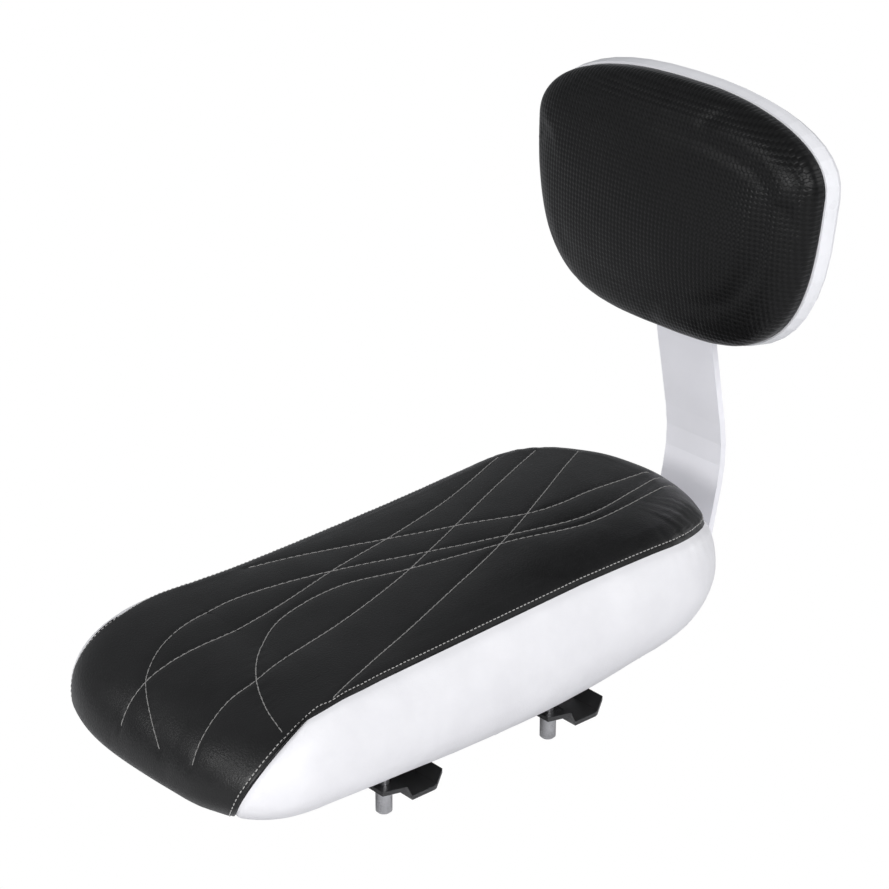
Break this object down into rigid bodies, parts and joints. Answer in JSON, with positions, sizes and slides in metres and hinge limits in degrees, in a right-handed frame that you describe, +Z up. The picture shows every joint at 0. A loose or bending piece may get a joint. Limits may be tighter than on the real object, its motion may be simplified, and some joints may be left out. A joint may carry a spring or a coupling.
{
  "type": "rear passenger bike seat",
  "caption": "Long padded passenger seat for a bicycle's rear carrier, with clamps for the carrier's rails and a padded backrest on a bent steel bracket.",
  "frame": {"origin": "centre of the plane where the rest strips meet the carrier's rails, midway between the four clamps", "axes": "+X across the seat, +Y from the nose to the backrest, +Z up from the carrier"},
  "size_m": [0.216, 0.4027, 0.3404],
  "materials": {
    "black_cover": "satin grained",
    "white_cover": "satin grained",
    "foam": "matt open cell",
    "black_plastic": "fine moulded texture",
    "white_plastic": "smooth moulded",
    "black_rubber": "matt",
    "zinc_steel": "bright zinc",
    "black_steel": "satin black paint",
    "white_paint": "satin white paint",
    "plywood": "raw birch"
  },
  "bodies": {
    "seat": {"seat_cover": "black_cover", "side_band": "white_cover", "seat_foam": "foam", "base_pan": "black_plastic", "rest_strips": "black_rubber", "cover_staples": "zinc_steel", "clamp_studs": "zinc_steel", "stud_washers": "zinc_steel", "lock_nuts": "zinc_steel", "bracket": "white_paint", "bracket_bolts": "zinc_steel", "bracket_washers": "zinc_steel", "bracket_tee_nuts": "zinc_steel", "backrest_shell": "white_plastic", "backrest_board": "plywood", "backrest_foam": "foam", "backrest_cover": "black_cover", "backrest_bolts": "zinc_steel", "backrest_washers": "zinc_steel", "backrest_tee_nuts": "zinc_steel", "shell_screws": "zinc_steel"},
    "nut_front_left": {"sleeve_nut_front_left": "zinc_steel"},
    "nut_front_right": {"sleeve_nut_front_right": "zinc_steel"},
    "nut_rear_left": {"sleeve_nut_rear_left": "zinc_steel"},
    "nut_rear_right": {"sleeve_nut_rear_right": "zinc_steel"},
    "plate_front_left": {"dog_front_left": "black_steel"},
    "plate_front_right": {"dog_front_right": "black_steel"},
    "plate_rear_left": {"dog_rear_left": "black_steel"},
    "plate_rear_right": {"dog_rear_right": "black_steel"}
  },
  "joints": [
    {"name": "clamp_travel_front_left", "type": "slide", "parent": "seat", "child": "nut_front_left", "axis": [0, 0, 1], "range_m": [-0.004, 0.0045]},
    {"name": "clamp_travel_front_right", "type": "slide", "parent": "seat", "child": "nut_front_right", "axis": [0, 0, 1], "range_m": [-0.004, 0.0045]},
    {"name": "clamp_travel_rear_left", "type": "slide", "parent": "seat", "child": "nut_rear_left", "axis": [0, 0, 1], "range_m": [-0.004, 0.0045]},
    {"name": "clamp_travel_rear_right", "type": "slide", "parent": "seat", "child": "nut_rear_right", "axis": [0, 0, 1], "range_m": [-0.004, 0.0045]},
    {"name": "plate_swing_front_left", "type": "hinge", "parent": "nut_front_left", "child": "plate_front_left", "pos_m": [-0.049, -0.059, -0.00775], "axis": [0, 0, 1], "continuous": true},
    {"name": "plate_swing_front_right", "type": "hinge", "parent": "nut_front_right", "child": "plate_front_right", "pos_m": [0.049, -0.059, -0.00775], "axis": [0, 0, 1], "continuous": true},
    {"name": "plate_swing_rear_left", "type": "hinge", "parent": "nut_rear_left", "child": "plate_rear_left", "pos_m": [-0.049, 0.059, -0.00775], "axis": [0, 0, 1], "continuous": true},
    {"name": "plate_swing_rear_right", "type": "hinge", "parent": "nut_rear_right", "child": "plate_rear_right", "pos_m": [0.049, 0.059, -0.00775], "axis": [0, 0, 1], "continuous": true}
  ]
}
